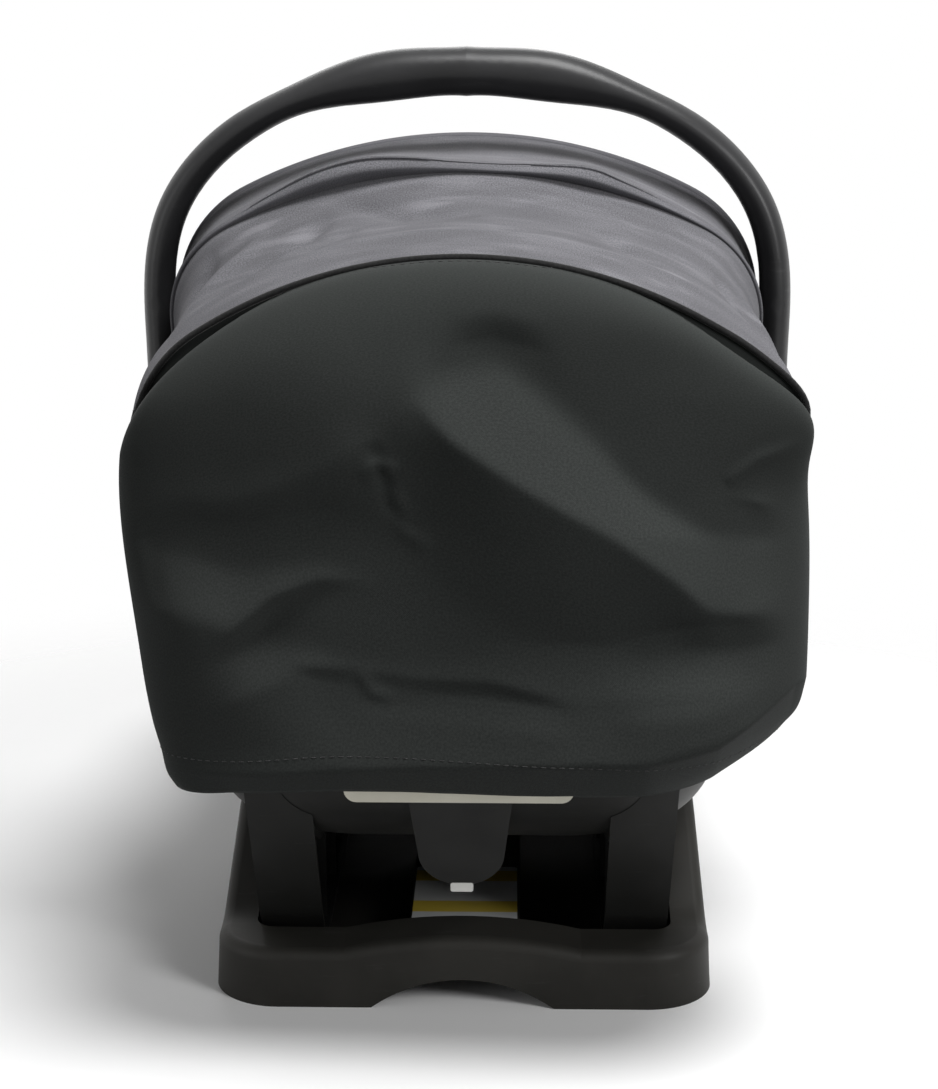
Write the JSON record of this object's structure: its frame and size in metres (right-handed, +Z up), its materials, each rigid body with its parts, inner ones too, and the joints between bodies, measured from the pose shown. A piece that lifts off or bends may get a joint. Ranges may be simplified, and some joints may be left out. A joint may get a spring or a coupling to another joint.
{
  "type": "infant car seat",
  "caption": "Rear-facing infant carrier with arched carry handle, folding cloth hood, harness and rocker rails, latched onto a low vehicle base tray.",
  "frame": {"origin": "middle of the base tray's underside, on the surface that it stands on", "axes": "+Z up, -Y towards the head end of the seat, +Y towards the foot end, +X across the seat"},
  "size_m": [0.45, 0.6576, 0.63],
  "materials": {
    "base_plastic": "matte",
    "shell_plastic": "satin",
    "chute_plastic": "satin",
    "handle_plastic": "satin",
    "lever_plastic": "satin",
    "white_nylon": "satin",
    "window_plastic": "gloss",
    "steel": "satin",
    "bow_rod": "satin",
    "panel_cloth": "matte",
    "hood_cloth": "matte",
    "energy_foam": "matte",
    "pad_cloth": "matte",
    "webbing": "matte",
    "clip_plastic": "satin",
    "button_plastic": "satin"
  },
  "bodies": {
    "base": {"base_tray": "base_plastic", "level_window": "window_plastic", "strike_bar": "steel", "recline_pin": "steel", "anchor_strap": "webbing", "anchor_connector_left": "steel", "anchor_connector_right": "steel"},
    "recline_foot": {"recline_foot": "base_plastic"},
    "anchor_button_left": {"anchor_button_left": "button_plastic"},
    "anchor_button_right": {"anchor_button_right": "button_plastic"},
    "carrier": {"carrier_shell": "shell_plastic", "rocker_rail_left": "shell_plastic", "rocker_rail_right": "shell_plastic", "rail_screws": "steel", "release_chute": "chute_plastic", "cable_guide": "white_nylon", "pawl_clevis": "steel", "pawl_pin": "steel", "handle_pin_left": "steel", "handle_pin_right": "steel", "hood_bracket_left": "handle_plastic", "hood_bracket_right": "handle_plastic", "hood_back_panel": "panel_cloth", "rear_bow": "bow_rod", "hood_rear_cloth": "hood_cloth", "energy_foam": "energy_foam", "back_pad": "pad_cloth", "seat_pad": "pad_cloth", "side_liner": "pad_cloth", "harness_strap_left": "webbing", "harness_strap_right": "webbing", "crotch_strap": "webbing", "buckle_housing": "clip_plastic", "buckle_tongue_left": "steel", "buckle_tongue_right": "steel", "adjuster_housing": "clip_plastic", "adjuster_tail": "webbing"},
    "handle": {"carry_handle": "handle_plastic"},
    "handle_button_left": {"handle_button_left": "handle_plastic", "button_spring_left": "steel"},
    "handle_button_right": {"handle_button_right": "handle_plastic", "button_spring_right": "steel"},
    "hood_mid": {"mid_bow": "bow_rod", "hood_front_cloth": "hood_cloth"},
    "hood_front": {"front_bow": "bow_rod"},
    "release_lever": {"release_lever": "lever_plastic"},
    "latch_pawl": {"latch_pawl": "steel"},
    "chest_clip": {"chest_clip": "clip_plastic"},
    "buckle_button": {"buckle_button": "button_plastic"},
    "adjuster_button": {"adjuster_button": "button_plastic"}
  },
  "joints": [
    {"name": "carrier_lift", "type": "slide", "parent": "base", "child": "carrier", "axis": [0, 0, 1], "range_m": [0, 0.2]},
    {"name": "recline_foot_flip", "type": "hinge", "parent": "base", "child": "recline_foot", "pos_m": [0, -0.03, 0.0055], "axis": [1, 0, 0], "range_deg": [0, 12]},
    {"name": "anchor_button_left_press", "type": "slide", "parent": "base", "child": "anchor_button_left", "axis": [0, 0, -1], "range_m": [0, 0.0015], "stiffness_N_per_m": 600},
    {"name": "anchor_button_right_press", "type": "slide", "parent": "base", "child": "anchor_button_right", "axis": [0, 0, -1], "range_m": [0, 0.0015], "stiffness_N_per_m": 600},
    {"name": "handle_swing", "type": "hinge", "parent": "carrier", "child": "handle", "pos_m": [0, -0.088, 0.3], "axis": [1, 0, 0], "range_deg": [-75, 25]},
    {"name": "handle_button_left_press", "type": "slide", "parent": "handle", "child": "handle_button_left", "axis": [1, 0, 0], "range_m": [0, 0.005], "stiffness_N_per_m": 800, "deforming": ["button_spring_left"]},
    {"name": "handle_button_right_press", "type": "slide", "parent": "handle", "child": "handle_button_right", "axis": [-1, 0, 0], "range_m": [0, 0.005], "stiffness_N_per_m": 800, "deforming": ["button_spring_right"]},
    {"name": "hood_mid_fold", "type": "hinge", "parent": "carrier", "child": "hood_mid", "pos_m": [0, -0.096, 0.396], "axis": [1, 0, 0], "range_deg": [0, 22], "deforming": ["hood_rear_cloth"]},
    {"name": "hood_front_fold", "type": "hinge", "parent": "hood_mid", "child": "hood_front", "pos_m": [0, -0.096, 0.396], "axis": [1, 0, 0], "range_deg": [0, 26.5], "deforming": ["hood_front_cloth"]},
    {"name": "release_lever_pull", "type": "slide", "parent": "carrier", "child": "release_lever", "axis": [0, 0, 1], "range_m": [0, 0.012], "stiffness_N_per_m": 600},
    {"name": "latch_pawl_turn", "type": "hinge", "parent": "carrier", "child": "latch_pawl", "pos_m": [0, -0.046, 0.08], "axis": [1, 0, 0], "range_deg": [0, 18.1]},
    {"name": "chest_clip_slide", "type": "slide", "parent": "carrier", "child": "chest_clip", "axis": [0, 0.809, -0.5878], "range_m": [-0.04, 0.05]},
    {"name": "buckle_button_press", "type": "slide", "parent": "carrier", "child": "buckle_button", "axis": [0, -0.5878, -0.809], "range_m": [0, 0.004], "stiffness_N_per_m": 800},
    {"name": "adjuster_button_press", "type": "slide", "parent": "carrier", "child": "adjuster_button", "axis": [0, 0.1736, -0.9848], "range_m": [0, 0.0035], "stiffness_N_per_m": 800}
  ],
  "couplings": [
    {"joint": "latch_pawl_turn", "follows": "release_lever_pull", "rad_per_m": 26.18},
    {"joint": "hood_front_fold", "follows": "hood_mid_fold", "ratio": 1.2}
  ]
}
